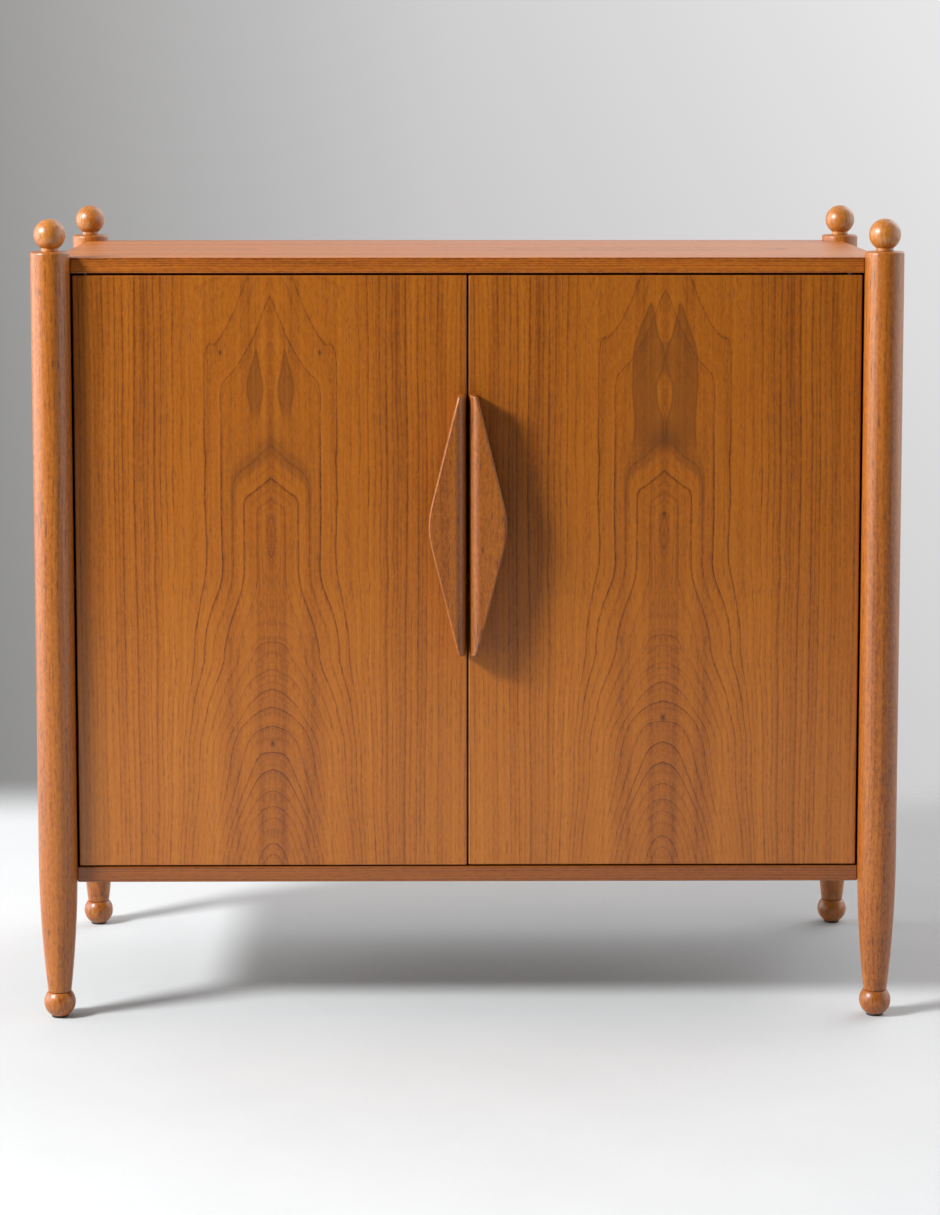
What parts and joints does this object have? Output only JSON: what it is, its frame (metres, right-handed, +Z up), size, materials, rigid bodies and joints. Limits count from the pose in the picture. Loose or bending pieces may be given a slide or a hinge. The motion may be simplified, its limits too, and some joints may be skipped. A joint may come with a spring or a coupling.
{
  "type": "bar cabinet",
  "caption": "Free-standing wooden bar cabinet with flat hinged doors hung between turned corner posts that end in ball finials and ball feet.",
  "frame": {"origin": "on the floor, at the middle of the cabinet's bounding box", "axes": "+X to the right as seen from the front, +Y to the back, +Z up; the doors face -Y"},
  "size_m": [1, 0.4576, 0.9333],
  "materials": {
    "walnut_veneer": "satin lacquered walnut veneer",
    "turned_walnut": "satin lacquered solid walnut",
    "brass": "satin",
    "steel": "satin",
    "black_plastic": "matte"
  },
  "bodies": {
    "case": {"post_front_left": "turned_walnut", "post_front_right": "turned_walnut", "post_back_left": "turned_walnut", "post_back_right": "turned_walnut", "finial_front_left": "turned_walnut", "finial_front_right": "turned_walnut", "finial_back_left": "turned_walnut", "finial_back_right": "turned_walnut", "foot_front_left": "turned_walnut", "foot_front_right": "turned_walnut", "foot_back_left": "turned_walnut", "foot_back_right": "turned_walnut", "glide_front_left": "black_plastic", "glide_front_right": "black_plastic", "glide_back_left": "black_plastic", "glide_back_right": "black_plastic", "top_panel": "walnut_veneer", "bottom_panel": "walnut_veneer", "side_panel_left": "walnut_veneer", "side_panel_right": "walnut_veneer", "back_panel": "walnut_veneer", "fixed_shelf": "walnut_veneer", "lower_divider": "walnut_veneer", "loose_shelf": "walnut_veneer", "shelf_pin_divider_front": "steel", "shelf_pin_divider_back": "steel", "shelf_pin_side_front": "steel", "shelf_pin_side_back": "steel", "stemware_rail_1": "turned_walnut", "stemware_rail_2": "turned_walnut", "stemware_rail_3": "turned_walnut", "stemware_rail_4": "turned_walnut", "bottle_rail_front": "turned_walnut", "bottle_rail_back": "turned_walnut", "hinge_case_plate_left_top": "brass", "hinge_case_plate_left_bottom": "brass", "hinge_case_plate_right_top": "brass", "hinge_case_plate_right_bottom": "brass", "hinge_pin_left_top": "steel", "hinge_pin_left_bottom": "steel", "hinge_pin_right_top": "steel", "hinge_pin_right_bottom": "steel", "catch_left": "black_plastic", "catch_right": "black_plastic"},
    "left_door": {"door_left": "walnut_veneer", "pull_left": "turned_walnut", "pull_screw_left_lower": "steel", "pull_screw_left_upper": "steel", "hinge_door_plate_left_top": "brass", "hinge_door_plate_left_bottom": "brass", "strike_left": "steel"},
    "right_door": {"door_right": "walnut_veneer", "pull_right": "turned_walnut", "pull_screw_right_lower": "steel", "pull_screw_right_upper": "steel", "hinge_door_plate_right_top": "brass", "hinge_door_plate_right_bottom": "brass", "strike_right": "steel"}
  },
  "joints": [
    {"name": "left_door_hinge", "type": "hinge", "parent": "case", "child": "left_door", "pos_m": [-0.4405, -0.18875, 0.524], "axis": [0, 0, -1], "range_deg": [0, 100]},
    {"name": "right_door_hinge", "type": "hinge", "parent": "case", "child": "right_door", "pos_m": [0.4405, -0.18875, 0.524], "axis": [0, 0, 1], "range_deg": [0, 100]}
  ]
}
